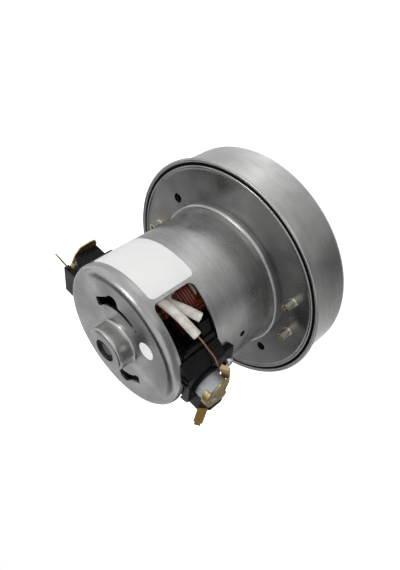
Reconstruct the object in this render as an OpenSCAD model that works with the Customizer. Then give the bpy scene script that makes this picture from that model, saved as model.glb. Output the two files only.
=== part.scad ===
// Vacuum cleaner motor with a single-stage fan. Millimetres, the shaft along Z,
// the origin in the middle of the intake face, the brushes along X.

/* [Fan cover] */
// Outside diameter of the fan cover
cover_d = 130; // [122:1:140]
// Height of the fan cover's mouth, where its bead is rolled
cover_h = 27.4; // [26:0.1:30]
// Sheet thickness of the fan cover
cover_wall = 1; // [0.8:0.1:1.2]
// Outside rounding of the fan cover's front edge
cover_edge_r = 2.6; // [2:0.1:4]
// Radius of the bead rolled round the mouth
bead_r = 1.1; // [0.8:0.05:1.3]
// Diameter of the air intake
eye_d = 38; // [32:1:42]
// Depth of the lip turned in round the intake
eye_lip_h = 3.2; // [2.6:0.1:3.6]

/* [Motor frame] */
// Sheet thickness of the motor frame
frame_wall = 1.2; // [1:0.1:1.5]
// Outside diameter of the frame's body
body_d = 81.2; // [78:0.2:84]
// Height of the frame's closed end over the intake face
frame_h = 102.4; // [98:0.2:108]
// Outside rounding between the body and its closed end
body_edge_r = 5; // [3:0.1:6]
// Outside diameter of the shoulder where the body meets the flange
shoulder_d = 87; // [85:0.2:92]
// Height of the shoulder over the flange
shoulder_h = 4.2; // [3.6:0.1:6]
// Rounding of the shoulder
shoulder_r = 1.6; // [1.2:0.1:2]
// Height of the rim raised round the flange
rim_h = 0.8; // [0.4:0.1:1.2]
// Rounding of the rim
rim_r = 1.6; // [1.4:0.1:2]
// Depth of the skirt pressed into the fan cover
skirt_h = 7; // [5:0.5:9]

/* [Rear bearing seat] */
// Height of the seat over the closed end
hub_h = 8.9; // [8.4:0.1:10]
// Diameter of the hole in front of the shaft's end
hub_hole_d = 12.6; // [10:0.1:14]
// Rounding of the seat's top edge
hub_edge_r = 1.6; // [1.4:0.1:2]
// Hollow rounding at the seat's foot
hub_foot_r = 1.8; // [1:0.1:2.4]

/* [Openings in the frame] */
// Direction of a window's brush side, in degrees from the brushes
window_from = -32; // [-36:1:-28]
// Direction of a window's open side, in degrees from the brushes
window_to = 70; // [64:1:74]
// Height of the windows' lower edge
window_low = 72.5; // [71:0.1:74]
// Height of the windows' upper edge
window_high = 96.8; // [95:0.1:97]
// Rounding of the windows' corners
window_r = 3.6; // [2:0.1:5]
// Middle radius of the narrow vent slots in the closed end
vent_r = 23.4; // [22.5:0.1:24]
// Width of the narrow vent slots
vent_w = 2.4; // [1.6:0.1:3]
// Diameter of the two free holes in the flange
flange_hole_d = 5.5; // [4:0.1:6.5]
// Distance between the two free holes
flange_hole_spacing = 98; // [96:0.5:102]
// Diameter of the locking hole in the body's wall
lock_hole_d = 3.6; // [2.5:0.1:4.5]

/* [Shaft and bearings] */
// Bore of the ball bearings
bearing_bore = 8; // [7.6:0.1:8.4]
// Outside diameter of the ball bearings
bearing_d = 22; // [21:0.1:23]
// Width of the ball bearings
bearing_w = 7; // [6.8:0.1:7.2]
// Diameter of a bearing's balls
ball_d = 3.9; // [3.6:0.1:4.1]
// Diameter of the shaft between the bearings
shaft_d = 10; // [9.6:0.1:10.6]
// Running clearance of each ball in its races
ball_gap = 0.08; // [0.05:0.01:0.1]

/* [Armature] */
// Diameter of the armature's laminated core
armature_d = 40; // [38:0.5:41]
// Length of the armature and of the field core
stack_h = 30; // [28:0.5:31]
// Height of the cores' lower end
stack_z = 38; // [37.5:0.1:39]
// Number of winding slots, and of commutator bars
slot_count = 22; // [16:1:24]
// Diameter of the commutator
commutator_d = 23; // [21:0.5:24]
// Length of the commutator
commutator_len = 17; // [15:0.5:18]

/* [Field] */
// Air gap between the armature and the poles
air_gap = 0.6; // [0.4:0.1:0.8]
// Thickness of the pole shoes
shoe_t = 2.6; // [2:0.1:3]
// Half of a pole's angle as seen from the shaft
pole_half = 28; // [24:1:29]
// Half of a pole shoe's angle as seen from the shaft
shoe_half = 56; // [50:1:58]
// Radial thickness of the field core's outer ring
yoke_t = 6.6; // [6:0.1:7]
// Diameter of the field winding's outer wire
wire_d = 1.1; // [1:0.05:1.2]
// Turns of the outer layer on each edge of a field winding
edge_turns = 4; // [3:1:4]
// Width of a field winding's bundle
coil_w = 7; // [6.5:0.1:7.4]

/* [Fan] */
// Diameter of the impeller
impeller_d = 112; // [106:1:114]
// Sheet thickness of the impeller
impeller_t = 0.8; // [0.6:0.1:1]
// Height between the impeller's discs at its rim
impeller_rim_h = 4.4; // [3.8:0.1:4.8]
// Number of blades
blade_count = 8; // [6:1:10]
// Diameter of the guide vane plate
guide_d = 117; // [114:0.5:118]
// Thickness of the guide vane plate
guide_t = 1.8; // [1.4:0.1:2]
// Number of guide vanes
vane_count = 10; // [8:1:12]

/* [Brushes] */
// Height of the brushes' middle line
brush_z = 84.7; // [84:0.1:85.4]
// Width of a carbon brush across the shaft
brush_w = 5; // [4.6:0.1:5.2]
// Height of a carbon brush along the shaft
brush_h = 10.5; // [10:0.1:10.8]
// Length of a new carbon brush
brush_len = 22.5; // [20:0.5:24]
// Travel of a brush against its spring
brush_travel = 4; // [2:0.5:5]
// Outside diameter of the brush barrels
barrel_d = 15; // [14.8:0.1:15.4]
// Distance from the shaft to a barrel's outer end
barrel_end = 52; // [51:0.1:53]
// Distance from the shaft to the flat front of the brush holders
front_x = 44.2; // [43.8:0.1:44.6]
// Width of the push-on terminals
tab_w = 4.8; // [4.8:0.1:6.3]

/* [Hidden] */
$fn = 64;

fit = 0.02;
slide = 0.1;
clear = 0.3;
sheet_brass = 0.8;

// Frame
body_r = body_d / 2;
body_in_r = body_r - frame_wall;
skirt_r = cover_d / 2 - cover_wall - fit;
flange_top = cover_h;
flange_low = flange_top - frame_wall;
rim_mid_r = skirt_r - rim_r;
shoulder_out_r = shoulder_d / 2;
shoulder_top = flange_top + shoulder_h;
hub_in_r = bearing_d / 2 + fit;
hub_out_r = hub_in_r + frame_wall;
hub_top = frame_h + hub_h;
hub_roof = hub_top - frame_wall;
hub_fillet_in = 0.4;
vent_from = 63;
vent_to = 94;
flange_hole_az = 146.3;
lock_hole_az = 12.5;
lock_hole_z = 55;
screw_az = [0, 23.5, 180, 203.5];
screw_ring_r = 51.5;
screw_d = 3;
pip_az = [11.5, 191.5];
pip_r = 1.4;
pip_h = 1;

// Bearings: the front one hangs in the bracket, the rear one in the frame's seat
rear_z = hub_roof - bearing_w;
ball_pitch_r = (bearing_bore + bearing_d) / 4;
ball_count = 7;
race_in_r = ball_pitch_r - ball_d / 2 * 0.72;
race_out_r = ball_pitch_r + ball_d / 2 * 0.72;
race_chamfer = 0.5;
shield_t = 0.4;
shield_inset = 0.2;
cage_half_h = 2;
cage_t = 1;
bracket_t = frame_wall;
bracket_low = flange_low - bracket_t;
cup_depth = 6.4;
cup_floor = flange_low - cup_depth - bracket_t;
front_z = cup_floor + bracket_t;
cup_out_r = hub_out_r;
cup_hole_r = 8.2;
bracket_edge = 5.5;
bracket_r = screw_ring_r + bracket_edge;
bracket_in_r = body_in_r - 2.4;
spoke_w = 13;
spoke_count = 4;

// Fan
sleeve_len = 5;
sleeve_out_r = 6.6;
washer_t = 1.4;
washer_r = 11;
nut_h = 5.5;
nut_flats = 13;
shaft_r = bearing_bore / 2;
washer_back_z = front_z - sleeve_len - washer_t;
disc_back_z = washer_back_z - impeller_t;
washer_front_z = disc_back_z - washer_t;
nut_z = washer_front_z - nut_h;
shaft_low = nut_z - 1.1;
impeller_eye_r = eye_d / 2 + 2;
front_disc_eye_z = eye_lip_h + 1;
front_disc_rim_z = disc_back_z - impeller_rim_h - impeller_t;
blade_t = 0.8;
guide_gap = 2;
guide_z = disc_back_z + impeller_t + guide_gap;
guide_hub_r = 13.4;
guide_boss_r = 4.2;
vane_start = 11.75;
guide_vane_in_r = 39;
guide_vane_out_r = 57;
vane_t = 1.6;
screw_head_r = 2.8;
screw_head_h = 1.8;
screw_head_z = guide_z + 0.4;
screw_end = flange_top + 3.5;
post_d = 4.4;
post_h = 6.5;
post_foot_d = 5.6;
post_foot_h = 0.6;

// Armature
armature_r = armature_d / 2;
stack_top = stack_z + stack_h;
slot_mouth = 1.7;
slot_w = 2.5;
slot_floor_r = 10;
slot_lip = 1.3;
end_disc_t = 0.8;
end_disc_r = 18.6;
head_top = stack_top + 6.6;
head_low = stack_z - 7.4;
commutator_r = commutator_d / 2;
commutator_in_r = 7.4;
commutator_low = brush_z - commutator_len / 2;
riser_h = 1.8;
riser_r = commutator_r + 1.2;
bar_gap = 0.5;
mica_r = shaft_d / 2 + fit;

// Field
field_r = body_in_r - fit;
field_in_r = armature_r + air_gap;
shoe_out_r = field_in_r + shoe_t;
yoke_in_r = field_r - yoke_t;
field_flat_x = 36;
coil_in_r = shoe_out_r + 1;
face_gap = 0.3;
coil_out_r = yoke_in_r - wire_d - 2 * face_gap - slide;
coil_mid_z = stack_z + stack_h / 2;
insulator_t = 0.8;
coil_side_gap = insulator_t + slide;
coil_in_half = pole_half + 2.4;
coil_w_deg = coil_w / coil_out_r * 180 / PI;
coil_out_half = coil_in_half + coil_w_deg;
coil_in_h = stack_h / 2 + coil_side_gap;
coil_out_h = coil_in_h + coil_w;

// Brush gear, for the brush on the +X side
barrel_r = barrel_d / 2;
barrel_start = 31;
tube_wall = 0.6;
tube_w = brush_w + 2 * slide;
tube_h = brush_h + 2 * slide;
tube_start = commutator_r + 3.5;
brush_start = commutator_r;
brush_end = brush_start + brush_len;
cap_t = sheet_brass;
tube_inset = 1.2;
slot_y = -4.4;
slot_z = brush_z + 1.6;
claw_len = 2.4;
strap_root = [barrel_end + cap_t, 5.4, brush_z - 6.5];
strap_len = 8;
strap_w = 4.4;
strap_tilt = 16;
strap_lean = 13;
hook_len = 2.4;
tab_root = [barrel_end - 1.65, -14, brush_z + 4.8];
tab_turned = [-52, -42, -63];
far_tab_root = [barrel_end - 1.1, -7.3, brush_z + 11.6];
far_tab_turned = [-9, -23, -74.4];
tab_tip = 1.4;
tab_len = 9;
tab_hidden = 3;
tab_dimple_d = 1.4;
tab_web = 0.3;
plug_from = window_from + 0.5;
plug_to = 31;
plug_in_r = 37.4;
plug_low = window_low + 0.4;
plug_high = window_high - 0.4;
plug_face_r = body_r - 0.9;
neck_from = -16;
neck_to = 17;
nib_low = 91.6;
saddle_in_r = body_r + 0.05;
front_low = plug_low;
front_outline = [[-8.2, 18.3], [-4.7, 16.5], [-0.6, 11.5], [0, 0], [0, -10], [-1.6, -12], [-8.2, -13.5]];
front_y_low = -14;
front_y_high = 19;
front_slope_y = 10;
front_rib_y = [6.6, 10.4];
front_rib_t = 0.8;
front_high_a = window_high + 0.6;
front_high_b = window_high - 2.4;
lug_low = 64.8;
lug_from = -13;
lug_to = 13.5;
lug_r = 43.4;
collar_end = front_x + 1.1;
collar_r = barrel_r + 1.8;
cradle_y = -14.6;
cradle_top_y = -0.6;
cradle_low = brush_z - 8.5;
cradle_high = brush_z + 6.7;
wall_y = cradle_y - 0.9;
far_cradle_y = -9.6;
shelf_y = [-6, 12];
shelf_z = [brush_z + 9.5, brush_z + 12.5];
wall_t = 1.4;
hood_start = 16.4;
guide_from = 29;
guide_to = 41.5;
guide_high = 79.6;
holder_screw_y = 0.5;
holder_screw_z = 68.3;
holder_screw_d = 3.5;
holder_head_r = 3;
holder_head_h = 2.6;

// Soft and bent parts
label_t = 0.12;
label_from = 72.5;
label_to = 135.5;
label_low = 69;
label_high = 95.7;
label_r = 2.5;
dot_r = 4.7;
dot_at = 23.7;
dot_az = 35.7;
sleeve_r = [1.6, 2.6];
lead_r = 0.45;

// Shapes that repeat
module ring(r_in, r_out, z_low, z_high) {
    translate([0, 0, z_low])
        difference() {
            cylinder(r = r_out, h = z_high - z_low);
            translate([0, 0, -1])
                cylinder(r = r_in, h = z_high - z_low + 2);
        }
}
module sector(r_in, r_out, z_low, z_high, from, to) {
    rotate([0, 0, from])
        rotate_extrude(angle = to - from)
            translate([r_in, z_low])
                square([r_out - r_in, z_high - z_low]);
}
// A quarter of a ring in the section plane, for bent sheet: turn 0 faces +r and +z
module bend(r, z, r_out, wall, turn) {
    translate([r, z])
        rotate(turn)
            intersection() {
                difference() {
                    circle(r = r_out);
                    circle(r = r_out - wall);
                }
                square(r_out);
            }
}
module strip(r_in, r_out, z_low, z_high) {
    translate([r_in, z_low])
        square([r_out - r_in, z_high - z_low]);
}
// A piece of the cylinder's wall with round corners, and its cutter
module rounded_patch(r_in, r_out, z_low, z_high, from, to, corner) {
    a = corner / r_out * 180 / PI;
    union() {
        sector(r_in, r_out, z_low, z_high, from + a, to - a);
        sector(r_in, r_out, z_low + corner, z_high - corner, from, to);
        intersection() {
            sector(r_in, r_out, z_low, z_high, from, to);
            for (az = [from + a, to - a], z = [z_low + corner + fit, z_high - corner - fit])
                rotate([0, 0, az])
                    translate([r_in - 3, 0, z])
                        rotate([0, 90, 0])
                            cylinder(r = corner, h = r_out - r_in + 6);
        }
    }
}
module polar_hole(az, r, d, z_low, z_high) {
    rotate([0, 0, az])
        translate([r, 0, z_low])
            cylinder(d = d, h = z_high - z_low);
}
module block(x, y, z) {
    translate([x[0], y[0], z[0]])
        cube([x[1] - x[0], y[1] - y[0], z[1] - z[0]]);
}
function around(middle, width) = [middle - width / 2, middle + width / 2];
module rod_x(x_low, x_high, y, z, r) {
    translate([x_low, y, z])
        rotate([0, 90, 0])
            cylinder(r = r, h = x_high - x_low);
}
module other_side(turned) {
    rotate([0, 0, turned ? 180 : 0])
        children();
}

// A tube swept along a path: each ring lies square to the path, with one side
// turned towards a direction that the path never takes
function unit(v) = v / norm(v);
function heading(path, i) =
    unit(path[min(i + 1, len(path) - 1)] - path[max(i - 1, 0)]);
function square_to(t, d) = unit(d - (d * t) * t);
function tube_ring(c, t, d, r, sides) =
    let (n = square_to(t, d), b = cross(t, n))
    [for (k = [0:sides - 1]) c + r[0] * cos(360 * k / sides) * n + r[1] * sin(360 * k / sides) * b];
module tube(path, r, sides, aim) {
    n = len(path);
    rings = [for (i = [0:n - 1]) tube_ring(path[i], heading(path, i), aim[i], r, sides)];
    points = [for (q = rings) each q];
    walls = [for (i = [0:n - 2], k = [0:sides - 1], half = [0, 1])
        let (a = i * sides + k, b = i * sides + (k + 1) % sides)
        half == 0 ? [a, b, b + sides] : [a, b + sides, a + sides]];
    caps = [for (k = [1:sides - 2], far = [0, 1])
        far == 0 ? [0, k + 1, k] : (n - 1) * sides * [1, 1, 1] + [0, k, k + 1]];
    polyhedron(points = points, faces = [for (f = concat(walls, caps)) [f[2], f[1], f[0]]]);
}

// Fan cover: a drawn cup with a turned-in intake lip and a rolled bead
module fan_cover() {
    r = cover_d / 2;
    lip_r = 2;
    color("#b4b5b4")
        rotate_extrude($fn = 128) {
            strip(eye_d / 2 + lip_r, r - cover_edge_r, 0, cover_wall);
            bend(eye_d / 2 + lip_r, lip_r, lip_r, cover_wall, 180);
            strip(eye_d / 2, eye_d / 2 + cover_wall, lip_r, eye_lip_h);
            bend(r - cover_edge_r, cover_edge_r, cover_edge_r, cover_wall, 270);
            strip(r - cover_wall, r, cover_edge_r, cover_h);
            translate([r + bead_r - cover_wall * 0.15, cover_h])
                circle(r = bead_r);
        }
}

// Motor frame: flange, shoulder, body, closed end and bearing seat in one sheet
module frame_section() {
    corner_z = frame_h - body_edge_r;
    corner_in = body_r - body_edge_r;
    foot_r = hub_out_r + hub_foot_r;
    foot_z = frame_h + hub_foot_r;
    strip(skirt_r - frame_wall, skirt_r, flange_low - skirt_h, flange_top + rim_h - rim_r);
    for (turn = [0, 90])
        bend(rim_mid_r, flange_top + rim_h - rim_r, rim_r, frame_wall, turn);
    strip(rim_mid_r - rim_r, rim_mid_r - rim_r + frame_wall, flange_low, flange_top + rim_h - rim_r);
    strip(shoulder_out_r - frame_wall, rim_mid_r - rim_r + frame_wall, flange_low, flange_top);
    strip(shoulder_out_r - frame_wall, shoulder_out_r, flange_low, shoulder_top - shoulder_r);
    bend(shoulder_out_r - shoulder_r, shoulder_top - shoulder_r, shoulder_r, frame_wall, 0);
    strip(body_in_r, shoulder_out_r - shoulder_r, shoulder_top - frame_wall, shoulder_top);
    strip(body_in_r, body_r, shoulder_top - frame_wall, corner_z);
    bend(corner_in, corner_z, body_edge_r, frame_wall, 0);
    strip(foot_r, corner_in, frame_h - frame_wall, frame_h);
    bend(foot_r, foot_z, hub_foot_r + frame_wall, frame_wall, 180);
    strip(hub_in_r, hub_out_r, foot_z, hub_top - hub_edge_r);
    bend(hub_out_r - hub_edge_r, hub_top - hub_edge_r, hub_edge_r, frame_wall, 0);
    strip(hub_hole_d / 2, hub_out_r - hub_edge_r, hub_roof, hub_top);
}
// The wide end of a vent slot, as [direction, radius] round the shaft
vent_mouth = [[94, 22.2], [94.2, 24.6], [96.7, 28.4], [101, 29.6], [106.9, 29.2], [112, 27.3],
    [118, 26.3], [126, 25.6], [134.4, 25.5], [137, 23.4], [139, 21.3], [134, 20.4],
    [126, 21.2], [116, 21.7], [105, 22]];
module vent_slot() {
    depth = frame_wall + 4;
    translate([0, 0, frame_h - frame_wall - 2]) {
        rotate([0, 0, vent_from])
            rotate_extrude(angle = vent_to - vent_from + 1)
                translate([vent_r - vent_w / 2, 0])
                    square([vent_w, depth]);
        polar_hole(vent_from, vent_r, vent_w, 0, depth);
        linear_extrude(depth)
            polygon([for (p = vent_mouth) p[1] * [cos(p[0]), sin(p[0])]]);
    }
}
module motor_frame() {
    color("#9c9d9d")
        union() {
            difference() {
                rotate_extrude($fn = 128)
                    frame_section();
                for (side = [0, 180])
                    rotate([0, 0, side]) {
                        rounded_patch(body_in_r - 1.5, body_r + 1.5, window_low, window_high,
                            window_from, window_to, window_r);
                        vent_slot();
                        polar_hole(flange_hole_az, flange_hole_spacing / 2, flange_hole_d,
                            flange_low - 1, flange_top + 1);
                        rotate([0, 0, lock_hole_az])
                            rod_x(body_in_r - 1, body_r + 1, 0, lock_hole_z, lock_hole_d / 2);
                        rod_x(body_in_r - 1, body_r + 1, holder_screw_y, holder_screw_z,
                            holder_screw_d / 2);
                    }
                for (az = screw_az)
                    polar_hole(az, screw_ring_r, screw_d + 2 * slide, flange_low - 1, flange_top + 1);
            }
            for (az = pip_az)
                polar_hole(az, screw_ring_r, 2 * pip_r, flange_top - 0.2, flange_top + pip_h);
        }
}

// Bracket that carries the front bearing across the frame's mouth
module fan_bracket() {
    color("#a9aaab")
        difference() {
            union() {
                ring(bracket_in_r, bracket_r, bracket_low, flange_low);
                for (k = [0:spoke_count - 1])
                    rotate([0, 0, 45 + k * 360 / spoke_count])
                        block([hub_in_r + 0.4, bracket_in_r + 1], [-spoke_w / 2, spoke_w / 2],
                            [bracket_low, flange_low]);
                ring(hub_in_r, cup_out_r, cup_floor, flange_low);
                ring(cup_hole_r, cup_out_r, cup_floor, front_z);
            }
            for (az = screw_az)
                polar_hole(az, screw_ring_r, screw_d + 2 * slide, bracket_low - 1, flange_low + 1);
            for (az = [0, 180])
                polar_hole(flange_hole_az + az, flange_hole_spacing / 2, flange_hole_d,
                    bracket_low - 1, flange_low + 1);
        }
}

// Guide vane plate: vanes on its frame side lead the air in to the motor
module vane_outline(r_in, r_out, thick, bow) {
    chord = r_out - r_in;
    arc_r = (chord * chord / 4 + bow * bow) / (2 * bow);
    intersection() {
        translate([r_in, -bow])
            square([chord, 2 * bow + thick]);
        translate([(r_in + r_out) / 2, bow - arc_r])
            difference() {
                circle(r = arc_r + thick, $fn = 96);
                circle(r = arc_r, $fn = 96);
            }
    }
}
module guide_vane_plate() {
    color("#2b2b2c")
        difference() {
            union() {
                ring(guide_hub_r, guide_d / 2, guide_z, guide_z + guide_t);
                for (k = [0:vane_count - 1])
                    rotate([0, 0, vane_start + k * 360 / vane_count])
                        translate([0, 0, guide_z + guide_t - 0.1])
                            linear_extrude(bracket_low - guide_z - guide_t + 0.1)
                                vane_outline(guide_vane_in_r, guide_vane_out_r, vane_t, 2.5);
                for (az = screw_az)
                    polar_hole(az, screw_ring_r, 2 * guide_boss_r, guide_z, bracket_low);
            }
            for (az = screw_az) {
                polar_hole(az, screw_ring_r, screw_d + 2 * slide, guide_z - 1, bracket_low + 1);
                polar_hole(az, screw_ring_r, 2 * (screw_head_r + slide), guide_z - 1,
                    screw_head_z + screw_head_h);
            }
            for (az = [0, 180])
                polar_hole(flange_hole_az + az, flange_hole_spacing / 2, flange_hole_d,
                    guide_z - 1, bracket_low + 1);
        }
}
module bracket_screws() {
    slot = 0.8;
    color("#c9bf9a")
        for (az = screw_az)
            rotate([0, 0, az])
                translate([screw_ring_r, 0, 0])
                    difference() {
                        union() {
                            translate([0, 0, screw_head_z])
                                cylinder(r = screw_head_r, h = screw_head_h);
                            translate([0, 0, screw_head_z])
                                cylinder(d = screw_d, h = screw_end - screw_head_z - 0.4);
                            translate([0, 0, screw_end - 0.4])
                                cylinder(d1 = screw_d, d2 = screw_d - 0.8, h = 0.4, $fn = 32);
                        }
                        for (turn = [0, 90])
                            rotate([0, 0, turn])
                                translate([-screw_head_r * 0.6, -slot / 2, screw_head_z - 1])
                                    cube([screw_head_r * 1.2, slot, 1.9]);
                    }
}
// Sleeve nuts that the screws end in, each on a small foot on the flange
module bracket_nuts() {
    color("#cfc7ae")
        for (az = screw_az)
            rotate([0, 0, az])
                translate([screw_ring_r, 0, flange_top + fit])
                    difference() {
                        union() {
                            cylinder(d = post_d, h = post_h);
                            cylinder(d = post_foot_d, h = post_foot_h);
                        }
                        translate([0, 0, -1])
                            cylinder(d = screw_d + 2 * slide, h = post_h + 2);
                    }
}

// Impeller, clamped on the shaft between two washers
function front_disc_z(r) = front_disc_eye_z
    + (front_disc_rim_z - front_disc_eye_z) * (r - impeller_eye_r) / (impeller_d / 2 - impeller_eye_r);
module impeller_back_disc() {
    color("#bfc1c2")
        ring(shaft_r + fit, impeller_d / 2, disc_back_z, disc_back_z + impeller_t);
}
module impeller_front_disc() {
    r = impeller_d / 2;
    color("#bfc1c2")
        rotate_extrude($fn = 128)
            polygon([[impeller_eye_r, front_disc_eye_z], [r, front_disc_rim_z],
                [r, front_disc_rim_z + impeller_t], [impeller_eye_r, front_disc_eye_z + impeller_t]]);
}
module impeller_blades() {
    r = impeller_d / 2 - 0.5;
    r_in = impeller_eye_r + 0.5;
    color("#bfc1c2")
        intersection() {
            for (k = [0:blade_count - 1])
                rotate([0, 0, k * 360 / blade_count])
                    translate([0, 0, front_disc_eye_z])
                        linear_extrude(disc_back_z - front_disc_eye_z)
                            vane_outline(r_in, r, blade_t, 6);
            rotate_extrude($fn = 128)
                polygon([[r_in - 2, front_disc_z(r_in - 2) + impeller_t], [r + 2, front_disc_z(r + 2) + impeller_t],
                    [r + 2, disc_back_z], [r_in - 2, disc_back_z]]);
        }
}
module impeller_washers() {
    color("#8d8f90") {
        ring(shaft_r + fit, washer_r, washer_back_z, washer_back_z + washer_t);
        ring(shaft_r + fit, washer_r, washer_front_z, washer_front_z + washer_t);
    }
}
module impeller_nut() {
    color("#8a8c8d")
        difference() {
            translate([0, 0, nut_z])
                cylinder(d = nut_flats / cos(30), h = nut_h, $fn = 6);
            translate([0, 0, nut_z - 1])
                cylinder(r = shaft_r + fit, h = nut_h + 2);
        }
}
module spacer_sleeve() {
    color("#9a9c9d")
        ring(shaft_r + fit, sleeve_out_r, front_z - sleeve_len, front_z);
}
module shaft() {
    chamfer = 0.5;
    color("#7f8183")
        rotate_extrude()
            polygon([[0, shaft_low], [shaft_r - chamfer, shaft_low], [shaft_r, shaft_low + chamfer],
                [shaft_r, front_z + bearing_w], [shaft_d / 2, front_z + bearing_w],
                [shaft_d / 2, rear_z], [shaft_r, rear_z], [shaft_r, hub_roof - chamfer],
                [shaft_r - chamfer, hub_roof], [0, hub_roof]]);
}

// Ball bearings: two races with ball tracks, balls in a cage, two shields
module outer_race(z) {
    color("#8e9092")
        translate([0, 0, z])
            rotate_extrude()
                difference() {
                    polygon([[race_out_r, 0], [bearing_d / 2 - race_chamfer, 0], [bearing_d / 2, race_chamfer],
                        [bearing_d / 2, bearing_w - race_chamfer], [bearing_d / 2 - race_chamfer, bearing_w],
                        [race_out_r, bearing_w]]);
                    translate([ball_pitch_r, bearing_w / 2])
                        circle(r = ball_d / 2 + ball_gap);
                    for (s = [shield_inset, bearing_w - shield_inset - shield_t])
                        strip(race_out_r - 1, race_out_r + 0.5, s, s + shield_t);
                }
}
module inner_race(z) {
    color("#8e9092")
        translate([0, 0, z])
            rotate_extrude()
                difference() {
                    strip(shaft_r + fit, race_in_r, 0, bearing_w);
                    translate([ball_pitch_r, bearing_w / 2])
                        circle(r = ball_d / 2 + ball_gap);
                }
}
module balls(z) {
    color("#a5a7a9")
        for (k = [0:ball_count - 1])
            rotate([0, 0, k * 360 / ball_count])
                translate([ball_pitch_r, 0, z + bearing_w / 2])
                    sphere(d = ball_d);
}
module cage(z) {
    color("#a08c5a")
        difference() {
            ring(ball_pitch_r - cage_t / 2, ball_pitch_r + cage_t / 2,
                z + bearing_w / 2 - cage_half_h, z + bearing_w / 2 + cage_half_h);
            for (k = [0:ball_count - 1])
                rotate([0, 0, k * 360 / ball_count])
                    translate([ball_pitch_r, 0, z + bearing_w / 2])
                        sphere(r = ball_d / 2 + ball_gap);
        }
}
module shields(z) {
    color("#77797b")
        for (s = [shield_inset, bearing_w - shield_inset - shield_t])
            ring(race_in_r + 0.25, race_out_r + 0.5, z + s, z + s + shield_t);
}

// Armature: slotted core, winding with its two heads, commutator
module armature_core() {
    color("#6d6e70")
        difference() {
            ring(mica_r, armature_r, stack_z, stack_top);
            for (k = [0:slot_count - 1])
                rotate([0, 0, k * 360 / slot_count]) {
                    block([slot_floor_r + slot_w / 2, armature_r - slot_lip], [-slot_w / 2, slot_w / 2],
                        [stack_z - 1, stack_top + 1]);
                    translate([slot_floor_r + slot_w / 2, 0, stack_z - 1])
                        cylinder(d = slot_w, h = stack_h + 2);
                    block([armature_r - slot_lip - 1, armature_r + 1], [-slot_mouth / 2, slot_mouth / 2],
                        [stack_z - 1, stack_top + 1]);
                }
        }
}
module winding_head(z_near, z_far, r_near) {
    rotate_extrude()
        polygon([[shaft_d / 2 + 1.6, z_near], [r_near, z_near], [r_near, z_near + 0.45 * (z_far - z_near)],
            [r_near - 3, z_near + 0.85 * (z_far - z_near)], [r_near - 6, z_far],
            [shaft_d / 2 + 1.6, z_far]]);
}
module armature_winding() {
    gap = 0.1;
    bar_w = slot_w - 2 * gap;
    color("#7a2f1f")
        union() {
            winding_head(stack_top + end_disc_t, head_top, armature_r - slot_lip - 0.4);
            winding_head(stack_z - end_disc_t, head_low, armature_r - slot_lip - 0.4);
            for (k = [0:slot_count - 1])
                rotate([0, 0, k * 360 / slot_count])
                    block([slot_floor_r + slot_w / 2, armature_r - slot_lip - 0.5], [-bar_w / 2, bar_w / 2],
                        [stack_z - end_disc_t - 0.2, stack_top + end_disc_t + 0.2]);
        }
}
module armature_end_discs() {
    color("#3a4a3c")
        for (z = [stack_z - end_disc_t, stack_top])
            difference() {
                ring(mica_r, end_disc_r, z, z + end_disc_t);
                for (k = [0:slot_count - 1])
                    rotate([0, 0, k * 360 / slot_count])
                        block([slot_floor_r, end_disc_r + 1], [-slot_w / 2, slot_w / 2],
                            [z - 1, z + end_disc_t + 1]);
            }
}
module commutator_bars() {
    step = 360 / slot_count;
    top = commutator_low + commutator_len;
    color("#b5734a")
        difference() {
            union() {
                ring(commutator_in_r, commutator_r, commutator_low, top);
                ring(commutator_in_r, riser_r, commutator_low, commutator_low + riser_h);
            }
            for (k = [0:slot_count - 1])
                rotate([0, 0, (k + 0.5) * step])
                    block([commutator_in_r - 1, riser_r + 1], [-bar_gap / 2, bar_gap / 2],
                        [commutator_low - 1, top + 1]);
        }
}
module commutator_hub() {
    color("#4a2c20")
        ring(mica_r, commutator_in_r, commutator_low, commutator_low + commutator_len);
}

// Field: laminated core with two poles, insulators and two coils
module wedge(half) {
    far = field_r + 2;
    polygon([[0, 0], [far, -far * tan(half)], [far, far * tan(half)]]);
}
module flat_ring(r_in, r_out) {
    difference() {
        circle(r = r_out);
        circle(r = r_in);
    }
}
module field_core() {
    color("#75777a")
        translate([0, 0, stack_z])
            linear_extrude(stack_h)
                intersection() {
                    circle(r = field_r);
                    square([2 * field_flat_x, 2 * field_r + 2], center = true);
                    union() {
                        flat_ring(yoke_in_r, field_r + 1);
                        for (az = [90, 270])
                            rotate(az) {
                                intersection() {
                                    wedge(pole_half);
                                    flat_ring(shoe_out_r - 1, yoke_in_r + 0.5);
                                }
                                intersection() {
                                    wedge(shoe_half);
                                    flat_ring(field_in_r, shoe_out_r);
                                }
                            }
                    }
                }
}
module field_insulators() {
    color("#d8d4c6")
        for (az = [90, 270], z = [stack_z - insulator_t, stack_top])
            sector(coil_in_r - 1, coil_out_r + 0.4, z, z + insulator_t, az - coil_in_half + 0.4, az + coil_in_half - 0.4);
}
module field_coil(turned) {
    az = turned ? 270 : 90;
    color("#5e1c14")
        difference() {
            sector(coil_in_r, coil_out_r, coil_mid_z - coil_out_h, coil_mid_z + coil_out_h,
                az - coil_out_half, az + coil_out_half);
            sector(coil_in_r - 1, coil_out_r + 1, coil_mid_z - coil_in_h, coil_mid_z + coil_in_h,
                az - coil_in_half, az + coil_in_half);
        }
}
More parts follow.
